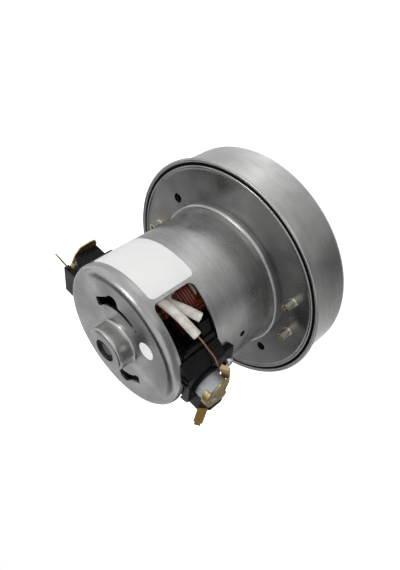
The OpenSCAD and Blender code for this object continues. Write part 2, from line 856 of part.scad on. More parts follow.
// Outer layer of a field winding: it climbs over the bundle's edge, then winds in over its face.
// A loop runs up one side, over the top, down the other side and back under
loop_rings = 24;
wire_r = wire_d / 2;
wire_pitch = wire_d + 0.45;
edge_gap = 0.1;
function loop_stop(k) = k * 4 / loop_rings;
function side_mix(u) = u < 1 ? [-1, 2 * u - 1] : u < 2 ? [2 * u - 3, 1] : u < 3 ? [1, 5 - 2 * u] : [7 - 2 * u, -1];
function winding_r(turn) = turn < edge_turns
    ? coil_in_r + wire_r + turn * wire_pitch
    : coil_out_r + wire_r + face_gap;
function winding_grow(turn) = turn <= edge_turns
    ? wire_r + edge_gap
    : wire_r + edge_gap - (turn - edge_turns + 1) * wire_pitch;
function winding_point(az, turn) =
    let (u = (turn - floor(turn)) * 4,
        m = side_mix(u),
        r = winding_r(turn),
        grow = winding_grow(turn),
        half = coil_out_half + grow / r * 180 / PI,
        a = az + m[0] * half)
    [r * cos(a), r * sin(a), coil_mid_z + m[1] * (coil_out_h + grow)];
face_turns = 3;
winding_turns = edge_turns + face_turns;
function winding_loops(az, fine) =
    [for (i = [0:winding_turns * loop_rings * fine]) winding_point(az, i / loop_rings / fine)];
function winding_path(az) =
    let (p = winding_loops(az, 1), n = len(p) - 1)
    concat([p[0] - [0, 0, wire_d]], p, [p[n] + wire_d * unit(p[n] - p[n - 1])]);
// Least gap of the winding to itself, measured between points half a loop or more apart
function least_gap(p, apart) =
    min([for (i = [0:len(p) - 1 - apart], j = [i + apart:len(p) - 1]) norm(p[i] - p[j])]) - wire_d;
echo(least_gap_of_winding = least_gap(winding_loops(90, 2), loop_rings));
module field_winding(turned) {
    path = winding_path(turned ? 270 : 90);
    color("#6b2016")
        tube(path, wire_r * [1, 1], 6, [for (p = path) unit([p[0], p[1], 0])]);
}

// Brush gear
module along_x(x_low, x_high) {
    translate([x_low, 0, 0])
        rotate([90, 0, 90])
            linear_extrude(x_high - x_low)
                children();
}
module brush_holder(turned) {
    color("#1f2021")
        other_side(turned)
            difference() {
                union() {
                    sector(plug_in_r, plug_face_r, plug_low, plug_high, plug_from, plug_to);
                    sector(plug_in_r + 1, saddle_in_r + 1, plug_low + 0.3, front_high_b - 0.8, neck_from, neck_to);
                    holder_front();
                    sector(saddle_in_r, lug_r, lug_low, plug_low + 1, lug_from, lug_to);
                    sector(plug_in_r - 2.6, plug_in_r + 1, plug_low - 0.2, guide_high, guide_from, guide_to);
                    sector(plug_in_r + 1, plug_face_r + 1.1, nib_low, nib_low + 3, plug_to - 3, plug_to - 0.4);
                    rod_x(hood_start, collar_end, 0, brush_z, collar_r);
                    cradle(turned);
                }
                rod_x(barrel_start, barrel_end + 6, 0, brush_z, barrel_r + fit);
                block([hood_start - 1, barrel_start + 2], around(0, tube_w + 2 * (tube_wall + fit)),
                    around(brush_z, tube_h + 2 * (tube_wall + fit)));
                rod_x(body_r - 1, lug_r + 1, holder_screw_y, holder_screw_z, holder_screw_d / 2);
                tab_shape(turned, fit);
            }
}
// Front of the holder outside the frame's wall, with two ribs on its sloping top
module holder_front() {
    difference() {
        union() {
            intersection() {
                translate([front_x, 0, front_low])
                    linear_extrude(window_high + 4 - front_low)
                        polygon(front_outline);
                along_x(front_x - 9, front_x + 1)
                    polygon([[front_y_low, front_low - 1], [front_y_high, front_low - 1],
                        [front_y_high, front_high_a], [front_slope_y, front_high_a], [front_y_low, front_high_b]]);
            }
            for (y = front_rib_y)
                block([front_x - 5, front_x - 1], [y, y + front_rib_t], [front_high_a - 3, front_high_a + 0.8]);
        }
        translate([0, 0, front_low - 1])
            cylinder(r = saddle_in_r, h = window_high + 6 - front_low);
    }
}
// Cradle under the barrel, with a wall that guards its outer side; the far holder has
// a narrower cradle and a shelf over the barrel instead of the wall
cradle_foot_z = brush_z - 8.9;
cradle_profile = [[front_x - 2.2, cradle_foot_z], [front_x - 2.2, cradle_high], [barrel_end - 3.3, cradle_high],
    [barrel_end + 0.2, brush_z + 3.1], [barrel_end + 1.2, brush_z + 1.9], [barrel_end + 1.3, brush_z - 6.1],
    [barrel_end, cradle_foot_z]];
module cradle_side(y_low, y_high) {
    translate([0, y_high, 0])
        rotate([90, 0, 0])
            linear_extrude(y_high - y_low)
                polygon(cradle_profile);
}
module cradle(turned) {
    low_y = turned ? far_cradle_y : cradle_y;
    intersection() {
        along_x(front_x - 3, barrel_end)
            polygon([[cradle_top_y, cradle_high + 1], [low_y, cradle_high + 1],
                [low_y, cradle_low - 1], [cradle_top_y, cradle_low - 1]]);
        cradle_side(cradle_y - 1, cradle_top_y + 1);
    }
    if (turned)
        block([front_x - 2.2, barrel_end - 0.5], shelf_y, shelf_z);
    else
        cradle_side(wall_y, wall_y + wall_t);
}
module brush_barrel(turned) {
    color("#b9c1c9")
        other_side(turned)
            difference() {
                union() {
                    rod_x(barrel_start, barrel_end, 0, brush_z, barrel_r);
                    along_x(barrel_end - 1, barrel_end + cap_t + 0.3)
                        polygon(slot_outline(0.6));
                }
                block([barrel_start - 1, barrel_end - tube_inset],
                    around(0, tube_w + 2 * (tube_wall + fit)), around(brush_z, tube_h + 2 * (tube_wall + fit)));
            }
}
module brush_tube(turned) {
    color("#b08d3c")
        other_side(turned)
            difference() {
                block([tube_start, barrel_end - tube_inset], around(0, tube_w + 2 * tube_wall),
                    around(brush_z, tube_h + 2 * tube_wall));
                block([tube_start - 1, barrel_end - tube_inset - tube_wall], around(0, tube_w),
                    around(brush_z, tube_h));
            }
}
module carbon_brush(turned) {
    color("#303032")
        other_side(turned)
            difference() {
                block([brush_start - 2, brush_end], around(0, brush_w), around(brush_z, brush_h));
                translate([0, 0, brush_z - brush_h])
                    cylinder(r = commutator_r + 0.05, h = 2 * brush_h);
            }
}
// Brush spring: a helix along X behind the brush
spring_turns = 7;
spring_r = 2;
spring_wire_r = 0.3;
spring_seat = barrel_end - tube_inset - tube_wall - 0.15;
function spring_point(i, x_low, x_high, steps) =
    let (a = 360 * spring_turns * i / steps)
    [x_low + spring_wire_r + (x_high - x_low - 2 * spring_wire_r) * i / steps,
        spring_r * cos(a), brush_z + spring_r * sin(a)];
module brush_spring(turned) {
    steps = spring_turns * 8;
    path = [for (i = [0:steps]) spring_point(i, brush_end + 0.15, spring_seat, steps)];
    color("#8f9294")
        other_side(turned)
            tube(path, spring_wire_r * [1, 1], 6, [for (p = path) unit([0, p[1], p[2] - brush_z])]);
}
// Brass cap over the barrel's end: a plate with a slot, a claw bent over the barrel
// and a strap that holds the end of the field winding's lead
function slot_outline(inset) = [for (p = [[3.6, 1.2], [-1, -2.8], [-3.4, -2.6], [-3.2, 0.4], [-0.8, 2.6], [2, 2.9]])
    [slot_y, slot_z] + p * (1 - inset / 3)];
cap_edge = [[3, 4], [0, 7.5], [-4.5, 7], [-10.2, 4.4], [-13.2, 1.2], [-13.9, -5.8], [-13.4, -8.6],
    [-10.4, -9.4], [-2.2, -5.2], [-2.4, -7.4], [1.9, -7.7], [6.6, -6.6], [6.8, -4.6], [7.6, 0]];
module brush_cap(turned) {
    color("#b8943f")
        other_side(turned)
            union() {
                along_x(barrel_end, barrel_end + cap_t)
                    difference() {
                        translate([0, brush_z])
                            polygon(cap_edge);
                        polygon(slot_outline(0));
                    }
                translate([0, 0, brush_z])
                    rotate([90, 0, 90])
                        translate([0, 0, barrel_end - claw_len])
                            sector(barrel_r + slide, barrel_r + slide + cap_t, 0, claw_len + cap_t, 50, 128);
                strap();
            }
}
module strap() {
    hook_z = 2 * lead_r + slide;
    translate(strap_root)
        rotate([0, 0, strap_lean])
            rotate([0, strap_tilt, 0])
                union() {
                    block([-strap_w, 0], [0, strap_len], [-cap_t, 0]);
                    block([-strap_w, 0], [strap_len - cap_t, strap_len], [-cap_t, hook_z + cap_t]);
                    block([-strap_w, 0], [strap_len - hook_len, strap_len], [hook_z, hook_z + cap_t]);
                }
}
// Push-on terminal: it stands out of the cradle's sloping top edge, or of the far shelf
module tab_place(turned) {
    translate(turned ? far_tab_root : tab_root)
        rotate(turned ? far_tab_turned : tab_turned)
            children();
}
module tab_shape(turned, gap) {
    tab_place(turned) {
        block([-tab_hidden - gap, tab_len - tab_tip], around(0, tab_w + 2 * gap),
            around(0, sheet_brass + 2 * gap));
        block([tab_len - tab_tip - 0.6, tab_len], around(0, tab_w - 1.6), around(0, sheet_brass));
    }
}
module terminal_tab(turned) {
    color("#b8903a")
        other_side(turned)
            difference() {
                tab_shape(turned, 0);
                tab_place(turned)
                    for (face_z = [tab_web / 2, -tab_web / 2 - 1])
                        translate([tab_len - 3.4, 0, face_z])
                            cylinder(d = tab_dimple_d, h = 1);
            }
}
module holder_screws() {
    cross_w = 0.9;
    color("#c4c6c8")
        for (turned = [false, true])
            other_side(turned)
                translate([lug_r, holder_screw_y, holder_screw_z])
                    rotate([0, 90, 0])
                        difference() {
                            union() {
                                cylinder(r = holder_head_r, h = holder_head_h * 0.6);
                                intersection() {
                                    cylinder(r = holder_head_r, h = holder_head_h);
                                    translate([0, 0, holder_head_h - holder_head_r * 1.6])
                                        sphere(r = holder_head_r * 1.6);
                                }
                                translate([0, 0, body_in_r - 2.5 - lug_r])
                                    cylinder(d = holder_screw_d - 0.2, h = lug_r - body_in_r + 2.6);
                            }
                            for (turn = [0, 90])
                                rotate([0, 0, turn])
                                    translate([-2, -cross_w / 2, holder_head_h - 1.1])
                                        cube([4, cross_w, 3]);
                        }
}

// Leads of the field winding: at each brush holder one flattened sleeve ends at the
// holder's guide, and the bare lead of the other runs on to the cap's strap
sleeve_one = [[-1, 30, 77.6], [-0.9, 30.9, 81], [0, 32, 84.4], [2.2, 33.2, 87.4], [5.4, 33.9, 89.4],
    [9.6, 34, 89.6], [14, 33, 88.6], [18.4, 31.2, 87.1], [23, 28.8, 85.6], [27.4, 25.8, 84.2], [31.6, 22.9, 82.9]];
sleeve_two = [[6.6, 28.4, 77.5], [7, 28.8, 80], [9, 29.2, 82.6], [12.4, 29.5, 84], [16, 29.6, 83],
    [19.6, 29.2, 81], [23, 28, 78.8], [26.5, 26.1, 76.3]];
lead_start = sleeve_one[len(sleeve_one) - 1];
lead_way = unit(lead_start - sleeve_one[len(sleeve_one) - 2]);
lead_route = [lead_start + fit * lead_way, lead_start + 2 * lead_way, [35.2, 20.9, 82.1], [37.2, 19.6, 81.8],
    [39.6, 18, 81.4], [42.4, 16.2, 80.9], [44.6, 13.8, 80.8], [45.8, 11.8, 80.5], [47.4, 10.8, 79.9],
    [50.6, 11.4, 79]];
module along(path, r, sides) {
    tube(path, r, sides, [for (p = path) unit([p[0], p[1], 0])]);
}
module lead_sleeves() {
    color("#ddd8cd")
        for (turned = [false, true])
            other_side(turned)
                for (path = [sleeve_one, sleeve_two])
                    along(path, sleeve_r, 12);
}
module lead_wires() {
    color("#c07a52")
        for (turned = [false, true])
            other_side(turned)
                along(lead_route, lead_r * [1, 1], 8);
}

// Bare labels
module rating_label() {
    half_w = body_r * sin((label_to - label_from) / 2);
    color("#f2f2f0")
        rotate([0, 0, (label_from + label_to) / 2])
            intersection() {
                ring(body_r, body_r + label_t, label_low, label_high);
                union() {
                    block([1, body_r + 1], around(0, 2 * (half_w - label_r)), [label_low, label_high]);
                    block([1, body_r + 1], around(0, 2 * half_w), [label_low + label_r, label_high - label_r]);
                    for (y = [label_r - half_w, half_w - label_r], z = [label_low + label_r, label_high - label_r])
                        rod_x(1, body_r + 1, y, z, label_r);
                }
            }
}
module round_label() {
    color("#f4f4f2")
        rotate([0, 0, dot_az])
            translate([dot_at, 0, frame_h])
                cylinder(r = dot_r, h = label_t);
}

fan_cover();
motor_frame();
fan_bracket();
guide_vane_plate();
bracket_screws();
bracket_nuts();
impeller_back_disc();
impeller_front_disc();
impeller_blades();
impeller_washers();
impeller_nut();
spacer_sleeve();
shaft();
outer_race(front_z);  // front_bearing_outer_race
inner_race(front_z);  // front_bearing_inner_race
balls(front_z);  // front_bearing_balls
cage(front_z);  // front_bearing_cage
shields(front_z);  // front_bearing_shields
outer_race(rear_z);  // rear_bearing_outer_race
inner_race(rear_z);  // rear_bearing_inner_race
balls(rear_z);  // rear_bearing_balls
cage(rear_z);  // rear_bearing_cage
shields(rear_z);  // rear_bearing_shields
armature_core();
armature_winding();
armature_end_discs();
commutator_bars();
commutator_hub();
field_core();
field_insulators();
field_coil(false);  // field_coil_a
field_coil(true);  // field_coil_b
field_winding(false);  // field_winding_a
field_winding(true);  // field_winding_b
brush_holder(false);  // brush_holder_a
brush_holder(true);  // brush_holder_b
brush_barrel(false);  // brush_barrel_a
brush_barrel(true);  // brush_barrel_b
brush_tube(false);  // brush_tube_a
brush_tube(true);  // brush_tube_b
carbon_brush(false);  // carbon_brush_a
carbon_brush(true);  // carbon_brush_b
brush_spring(false);  // brush_spring_a
brush_spring(true);  // brush_spring_b
brush_cap(false);  // brush_cap_a
brush_cap(true);  // brush_cap_b
terminal_tab(false);  // terminal_tab_a
terminal_tab(true);  // terminal_tab_b
holder_screws();
lead_sleeves();
lead_wires();
rating_label();
round_label();
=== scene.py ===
import math

import bmesh
import bpy
from mathutils import Matrix, Vector


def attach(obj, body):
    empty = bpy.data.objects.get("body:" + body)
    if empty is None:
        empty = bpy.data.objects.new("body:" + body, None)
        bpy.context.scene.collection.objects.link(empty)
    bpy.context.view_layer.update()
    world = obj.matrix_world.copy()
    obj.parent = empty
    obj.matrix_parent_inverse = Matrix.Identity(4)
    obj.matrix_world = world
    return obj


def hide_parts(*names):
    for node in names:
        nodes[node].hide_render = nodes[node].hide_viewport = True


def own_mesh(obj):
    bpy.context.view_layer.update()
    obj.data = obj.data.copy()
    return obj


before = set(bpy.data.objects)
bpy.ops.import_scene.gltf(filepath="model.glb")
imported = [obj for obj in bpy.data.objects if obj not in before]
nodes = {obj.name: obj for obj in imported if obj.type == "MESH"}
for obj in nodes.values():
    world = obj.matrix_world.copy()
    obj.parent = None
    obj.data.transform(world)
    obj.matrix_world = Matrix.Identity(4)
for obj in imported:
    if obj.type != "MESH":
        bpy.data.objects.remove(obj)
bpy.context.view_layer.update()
mm = 0.001

# The camera stands over the brush side and looks down on the closed end. It is
# rolled as the photograph is, so that the shaft points to the lower left.
camera_place = Vector((0.10635, 0.20873, 0.19705))
camera_target = Vector((0.01561, -0.00795, 0.05469))
camera_roll = -2.194
look = (camera_target - camera_place).normalized()
level_side = look.cross(Vector((0, 0, 1))).normalized()
level_top = level_side.cross(look)
picture_right = math.cos(camera_roll) * level_side + math.sin(camera_roll) * level_top
picture_top = math.cos(camera_roll) * level_top - math.sin(camera_roll) * level_side
lens = bpy.data.cameras.new("camera")
lens.lens = 31.47
lens.sensor_width = 36
lens.shift_x, lens.shift_y = -0.0077, 0.0664
lens.clip_start = 0.01
camera = bpy.data.objects.new("camera", lens)
bpy.context.scene.collection.objects.link(camera)
camera.matrix_world = (Matrix.Translation(camera_place)
                       @ Matrix((picture_right, picture_top, -look)).transposed().to_4x4())
bpy.context.scene.camera = camera


# Fan cover: a cup drawn from zinc-plated steel sheet, with its bead rolled over the
# frame's flange. The plating is mid grey, blotchy and faintly streaked round the cup.
def feed(tree, socket, value):
    if isinstance(value, bpy.types.NodeSocket):
        tree.links.new(value, socket)
    else:
        socket.default_value = value


def add_node(tree, kind, inputs=None, **settings):
    node = tree.nodes.new(kind)
    for key, value in settings.items():
        setattr(node, key, value)
    for key, value in (inputs or {}).items():
        feed(tree, node.inputs[key], value)
    return node


def object_place(tree):
    return add_node(tree, "ShaderNodeTexCoord").outputs["Object"]


def place_parts(tree):
    return add_node(tree, "ShaderNodeSeparateXYZ", {0: object_place(tree)}).outputs


def noise(tree, scale, detail=3, stretch=None):
    place = object_place(tree)
    if stretch:
        place = add_node(tree, "ShaderNodeMapping", {"Vector": place, "Scale": stretch}).outputs[0]
    return add_node(tree, "ShaderNodeTexNoise",
                    {"Vector": place, "Scale": scale, "Detail": detail}).outputs["Fac"]


def ranged(tree, value, low, high, start=0.35, stop=0.65):
    return add_node(tree, "ShaderNodeMapRange",
                    {"Value": value, "From Min": start, "From Max": stop,
                     "To Min": low, "To Max": high}).outputs[0]


def mixed(tree, share, first, second):
    mix = add_node(tree, "ShaderNodeMix", data_type="RGBA")
    share_at, first_at, second_at, result_at = 0, 6, 7, 2
    for at, value in ((share_at, share), (first_at, first), (second_at, second)):
        feed(tree, mix.inputs[at], value)
    return mix.outputs[result_at]


def maths(tree, operation, first, second):
    return add_node(tree, "ShaderNodeMath", {0: first, 1: second}, operation=operation).outputs[0]


def relief(tree, height, depth, strength=1.0):
    return add_node(tree, "ShaderNodeBump",
                    {"Height": height, "Distance": depth, "Strength": strength}).outputs[0]


def new_finish(name, **constants):
    material = bpy.data.materials.new(name)
    material.use_nodes = True
    shader = material.node_tree.nodes["Principled BSDF"]
    for key, value in constants.items():
        shader.inputs[key.replace("_", " ")].default_value = value
    return material, material.node_tree, shader


def link(tree, shader, **values):
    for key, value in values.items():
        tree.links.new(value, shader.inputs[key.replace("_", " ")])


def dress(material, *names):
    for name in names:
        slots = nodes[name].data.materials
        slots.clear()
        slots.append(material)


patch_share, streak_share, grain_share, speck_share = 0.7, 0.3, 0.1, 0.12
round_the_cup = (1, 1, 14)


def make_plating_group():
    group = bpy.data.node_groups.new("plating", "ShaderNodeTree")
    for name, way, kind in (("Pale", "INPUT", "NodeSocketColor"),
                            ("Dark", "INPUT", "NodeSocketColor"),
                            ("Smooth", "INPUT", "NodeSocketFloat"),
                            ("Rough", "INPUT", "NodeSocketFloat"),
                            ("Colour", "OUTPUT", "NodeSocketColor"),
                            ("Roughness", "OUTPUT", "NodeSocketFloat"),
                            ("Height", "OUTPUT", "NodeSocketFloat")):
        group.interface.new_socket(name, in_out=way, socket_type=kind)
    given = group.nodes.new("NodeGroupInput").outputs
    result = group.nodes.new("NodeGroupOutput").inputs
    patches = maths(group, "MULTIPLY", noise(group, scale=55, detail=4), patch_share)
    streaks = maths(group, "MULTIPLY", noise(group, scale=60, detail=5, stretch=round_the_cup),
                    streak_share)
    grain = maths(group, "MULTIPLY", noise(group, scale=2200, detail=1), grain_share)
    worn = maths(group, "ADD", patches, maths(group, "ADD", streaks, grain))
    paleness = ranged(group, worn, 0, 1, start=0.4, stop=0.7)
    feed(group, result["Colour"], mixed(group, paleness, given["Dark"], given["Pale"]))
    feed(group, result["Roughness"],
         ranged(group, noise(group, scale=85, detail=5), given["Smooth"], given["Rough"],
                start=0.32, stop=0.68))
    specks = maths(group, "MULTIPLY", noise(group, scale=900, detail=2), speck_share)
    feed(group, result["Height"], maths(group, "ADD", specks, noise(group, scale=120, detail=2)))
    return group


plating = make_plating_group()


def plated_finish(name, pale, dark, smooth, rough, depth, metal=1.0):
    material, tree, shader = new_finish(name, Metallic=metal)
    skin = add_node(tree, "ShaderNodeGroup",
                    {"Pale": pale, "Dark": dark, "Smooth": smooth, "Rough": rough},
                    node_tree=plating).outputs
    link(tree, shader, Base_Color=skin["Colour"], Roughness=skin["Roughness"],
         Normal=relief(tree, skin["Height"], depth))
    return material


# Painted shade darkens the crevice where the rolled bead meets the frame's rim.
seam_in_r, seam_out_r, seam_z = 63.2, 64.9, 26.0
seam_side_fade, seam_top_fade = 0.25, 0.2


def make_seam_shade_group():
    group = bpy.data.node_groups.new("seam_shade", "ShaderNodeTree")
    group.interface.new_socket("Mask", in_out="OUTPUT", socket_type="NodeSocketFloat")
    result = group.nodes.new("NodeGroupOutput").inputs
    xyz = place_parts(group)
    flat = add_node(group, "ShaderNodeCombineXYZ", {"X": xyz["X"], "Y": xyz["Y"]}).outputs[0]
    radius = add_node(group, "ShaderNodeVectorMath", {0: flat}, operation="LENGTH").outputs["Value"]
    inside = ranged(group, radius, 0, 1, seam_in_r * mm, (seam_in_r + seam_side_fade) * mm)
    outside = ranged(group, radius, 1, 0, (seam_out_r - seam_side_fade) * mm, seam_out_r * mm)
    above = ranged(group, xyz["Z"], 0, 1, (seam_z - seam_top_fade) * mm, seam_z * mm)
    feed(group, result["Mask"],
         maths(group, "MULTIPLY", above, maths(group, "MULTIPLY", inside, outside)))
    return group


seam_shade = make_seam_shade_group()


def lay_over(tree, share, **coats):
    inputs = tree.nodes["Principled BSDF"].inputs
    for key, coat in coats.items():
        socket = inputs[key.replace("_", " ")]
        feed(tree, socket, mixed(tree, share, socket.links[0].from_socket, coat))


def paint_seam_shade(material):
    tree = material.node_tree
    mask = add_node(tree, "ShaderNodeGroup", node_tree=seam_shade).outputs["Mask"]
    # painted shade: the crevice between bead and rim turns near black and rough
    lay_over(tree, mask, Base_Color=(0.012, 0.011, 0.01, 1), Roughness=(0.8, 0.8, 0.8, 1))
    return material


cover_zinc = plated_finish("cover_zinc", pale=(0.48, 0.475, 0.465, 1), dark=(0.33, 0.33, 0.328, 1),
                           smooth=0.25, rough=0.37, depth=0.005 * mm)
dress(paint_seam_shade(cover_zinc), "fan_cover")

# Motor frame: one deep-drawn sheet with the flange, the body and the bearing seat, held
# under the cover's bead. It is plated as the cover is, and the flange is darkened with painted
# shade.
shade_up_to, unshaded_from = 27.7, 28.6
flange_shade = 0.35


def shade_flange(material):
    tree = material.node_tree
    share = ranged(tree, place_parts(tree)["Z"], flange_shade, 0.0,
                   shade_up_to * mm, unshaded_from * mm)
    # painted shade: the flange's colour is darkened towards near black
    lay_over(tree, share, Base_Color=(0.08, 0.08, 0.08, 1))
    return material


frame_zinc = plated_finish("frame_zinc", pale=(0.48, 0.475, 0.47, 1), dark=(0.31, 0.31, 0.308, 1),
                           smooth=0.23, rough=0.35, depth=0.004 * mm)
dress(paint_seam_shade(shade_flange(frame_zinc)), "motor_frame")

# Bearing bracket, guide vane plate, and the screws and sleeve nuts that hold both under
# the flange. The bracket is plated sheet, the vane plate black moulding, and the screws
# and nuts are yellow zinc.
bracket_zinc = plated_finish("bracket_zinc", pale=(0.5, 0.5, 0.49, 1), dark=(0.4, 0.4, 0.4, 1),
                             smooth=0.3, rough=0.45, depth=0.03 * mm)
dress(bracket_zinc, "fan_bracket")


def moulded_finish(name, colour, speck, smooth, rough):
    material, tree, shader = new_finish(name, Specular_IOR_Level=0.12)
    specks = ranged(tree, noise(tree, scale=1500, detail=2), 0, 1, start=0.5, stop=0.75)
    skin = maths(tree, "ADD", noise(tree, scale=700), noise(tree, scale=90, detail=2))
    link(tree, shader, Base_Color=mixed(tree, specks, colour, speck),
         Roughness=ranged(tree, noise(tree, scale=220, detail=4), smooth, rough),
         Normal=relief(tree, skin, 0.03 * mm))
    return material


black_moulding = moulded_finish("black_moulding", colour=(0.005, 0.005, 0.0055, 1),
                                speck=(0.014, 0.014, 0.015, 1), smooth=0.2, rough=0.34)
dress(black_moulding, "guide_vane_plate")
yellow_zinc = plated_finish("yellow_zinc", pale=(0.86, 0.83, 0.74, 1), dark=(0.66, 0.62, 0.52, 1),
                            smooth=0.2, rough=0.32, depth=0.005 * mm)
dress(yellow_zinc, "bracket_screws", "bracket_nuts")


# Impeller: two discs and the blades between them, of riveted aluminium sheet, clamped
# between zinc-plated washers by the nut on the shaft.
def turned_finish(name, pale, dark, smooth, rough, rings=(1, 1, 1)):
    material, tree, shader = new_finish(name, Metallic=1.0)
    paleness = ranged(tree, noise(tree, scale=60, stretch=rings), 0, 1)
    link(tree, shader, Base_Color=mixed(tree, paleness, dark, pale),
         Roughness=ranged(tree, noise(tree, scale=140, detail=4), smooth, rough),
         Normal=relief(tree, noise(tree, scale=300, detail=4, stretch=rings), 0.02 * mm))
    return material


impeller_aluminium = turned_finish("impeller_aluminium", pale=(0.78, 0.79, 0.8, 1),
                                   dark=(0.68, 0.69, 0.7, 1), smooth=0.28, rough=0.42,
                                   rings=(1, 1, 4))
dress(impeller_aluminium, "impeller_back_disc", "impeller_front_disc", "impeller_blades")
screw_zinc = plated_finish("screw_zinc", pale=(0.74, 0.74, 0.73, 1), dark=(0.6, 0.6, 0.6, 1),
                           smooth=0.16, rough=0.3, depth=0.02 * mm)
dress(screw_zinc, "impeller_washers", "impeller_nut")

# Shaft, spacer and the two ball bearings: ground steel with fine turning rings, and
# pressed brass cages. The shaft and the rear bearing are darkened as painted shade of the hole in
# the bearing seat.
ground_steel = turned_finish("ground_steel", pale=(0.6, 0.61, 0.62, 1), dark=(0.48, 0.49, 0.5, 1),
                             smooth=0.16, rough=0.3, rings=(1, 1, 30))
dress(ground_steel, "spacer_sleeve")
# painted shade: the shaft is darkened for the shaded hole it sits in
shaft_steel = turned_finish("shaft_steel", pale=(0.12, 0.12, 0.12, 1), dark=(0.07, 0.07, 0.07, 1),
                            smooth=0.25, rough=0.4, rings=(1, 1, 30))
dress(shaft_steel, "shaft")
race_steel = turned_finish("race_steel", pale=(0.5, 0.5, 0.51, 1), dark=(0.4, 0.4, 0.41, 1),
                           smooth=0.2, rough=0.32, rings=(1, 1, 20))
dress(race_steel, "front_bearing_outer_race", "front_bearing_inner_race", "front_bearing_balls",
      "front_bearing_shields", "rear_bearing_balls")
# painted shade: the rear bearing is nearly black for the shaded hole in the bearing seat
shaded_steel = turned_finish("shaded_steel", pale=(0.03, 0.03, 0.032, 1), dark=(0.015, 0.015, 0.016, 1),
                           smooth=0.3, rough=0.5, rings=(1, 1, 20))
dress(shaded_steel, "rear_bearing_outer_race", "rear_bearing_inner_race", "rear_bearing_shields")
brass = turned_finish("brass", pale=(0.72, 0.55, 0.26, 1), dark=(0.55, 0.38, 0.15, 1),
                      smooth=0.2, rough=0.36)
dress(brass, "front_bearing_cage", "rear_bearing_cage")


# Armature: varnished laminations on the shaft, moulded end discs, the copper commutator
# on its moulded hub, and a winding of fine red enamelled wire wound from slot to slot.
def laminated_finish(name, pale, dark):
    material, tree, shader = new_finish(name, Metallic=0.85)
    layers = add_node(tree, "ShaderNodeTexWave",
                      {"Vector": object_place(tree), "Scale": 320.0, "Distortion": 0.4},
                      bands_direction="Z").outputs["Fac"]
    link(tree, shader, Base_Color=mixed(tree, noise(tree, scale=130), dark, pale),
         Roughness=ranged(tree, noise(tree, scale=200), low=0.35, high=0.55),
         Normal=relief(tree, layers, 0.08 * mm, strength=0.6))
    return material


lamination = laminated_finish("lamination", pale=(0.3, 0.3, 0.31, 1), dark=(0.16, 0.16, 0.17, 1))
dress(lamination, "armature_core")
red_brown_moulding = moulded_finish("red_brown_moulding", colour=(0.12, 0.05, 0.035, 1),
                                    speck=(0.2, 0.09, 0.06, 1), smooth=0.4, rough=0.6)
dress(red_brown_moulding, "armature_end_discs", "commutator_hub")
commutator_copper = turned_finish("commutator_copper", pale=(0.75, 0.42, 0.28, 1),
                                  dark=(0.5, 0.26, 0.16, 1), smooth=0.2, rough=0.4,
                                  rings=(1, 1, 12))
dress(commutator_copper, "commutator_bars")


def new_piece(name, points, faces, material, body, *stands_for, slot):
    mesh = bpy.data.meshes.new(name)
    mesh.from_pydata([tuple(c * mm for c in p) for p in points], [], faces)
    mesh.materials.append(material)
    piece = bpy.data.objects.new(name, mesh)
    bpy.context.scene.collection.objects.link(piece)
    whole = bmesh.new()
    whole.from_mesh(mesh)
    bmesh.ops.recalc_face_normals(whole, faces=whole.faces)
    whole.to_mesh(mesh)
    whole.free()
    for face in mesh.polygons:
        face.use_smooth = True
    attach(piece, body)
    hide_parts(*stands_for)
    return piece


def skin_rings(rings, closed=False):
    sides = len(rings[0])
    points = [p for ring in rings for p in ring]
    last = len(rings) if closed else len(rings) - 1
    faces = []
    for i in range(last):
        a, b = i * sides, ((i + 1) % len(rings)) * sides
        faces += [(a + k, a + (k + 1) % sides, b + (k + 1) % sides, b + k) for k in range(sides)]
    if not closed:
        faces += [tuple(range(sides)), tuple(range(len(points) - sides, len(points)))]
    return points, faces


def add_skin(points, faces, skin):
    skin_points, skin_faces = skin
    faces += [tuple(v + len(points) for v in face) for face in skin_faces]
    points += skin_points


def turned_by(a, x, y, z):
    return (x * math.cos(a) - y * math.sin(a), x * math.sin(a) + y * math.cos(a), z)


# blots, gloss and grain are each the scale and detail of a noise
def grained_finish(name, first, second, smooth, rough, blots, gloss, grain, depth, **constants):
    material, tree, shader = new_finish(name, **constants)
    link(tree, shader, Base_Color=mixed(tree, noise(tree, *blots), first, second),
         Roughness=ranged(tree, noise(tree, *gloss), smooth, rough),
         Normal=relief(tree, noise(tree, *grain), depth))
    return material


enamel = grained_finish("red_enamel", (0.16, 0.02, 0.012, 1), (0.32, 0.06, 0.03, 1),
                        smooth=0.22, rough=0.4, blots=(260, 3), gloss=(300, 3), grain=(800, 2),
                        depth=0.03 * mm, Coat_Weight=0.6, Coat_Roughness=0.15,
                        Specular_IOR_Level=0.6)
armature_slots = 22
# the profile of each end head of the winding, as radius and height
head_sections = [
    [(6.6, 68.8), (18.3, 68.8), (18.3, 71.4), (17.2, 73), (15.3, 73.8), (12.3, 74.6), (6.6, 74.6)],
    [(6.6, 37.2), (18.3, 37.2), (18.3, 34.2), (17.2, 32.6), (15.3, 31.7), (12.3, 30.6), (6.6, 30.6)]]
steps_a_slot, head_swell, swell_from_r = 6, 0.18, 8
head_steps = armature_slots * steps_a_slot
slot_wire_r, slot_wire_sides, slot_wire_ends = 0.56, 8, (37.1, 68.9)
slot_wire_aside, slot_layers, first_layer_r, layer_step = 0.58, 5, 12.2, 1.38
wire_turns = [t * math.tau / slot_wire_sides for t in range(slot_wire_sides)]
coil_points, coil_faces = [], []
for section in head_sections:
    rings = []
    for i in range(head_steps):
        a = i * math.tau / head_steps
        swell = head_swell * math.cos(armature_slots * a)
        rings.append([turned_by(a, r + (swell if r > swell_from_r else 0), 0, z)
                      for r, z in section])
    add_skin(coil_points, coil_faces, skin_rings(rings, closed=True))
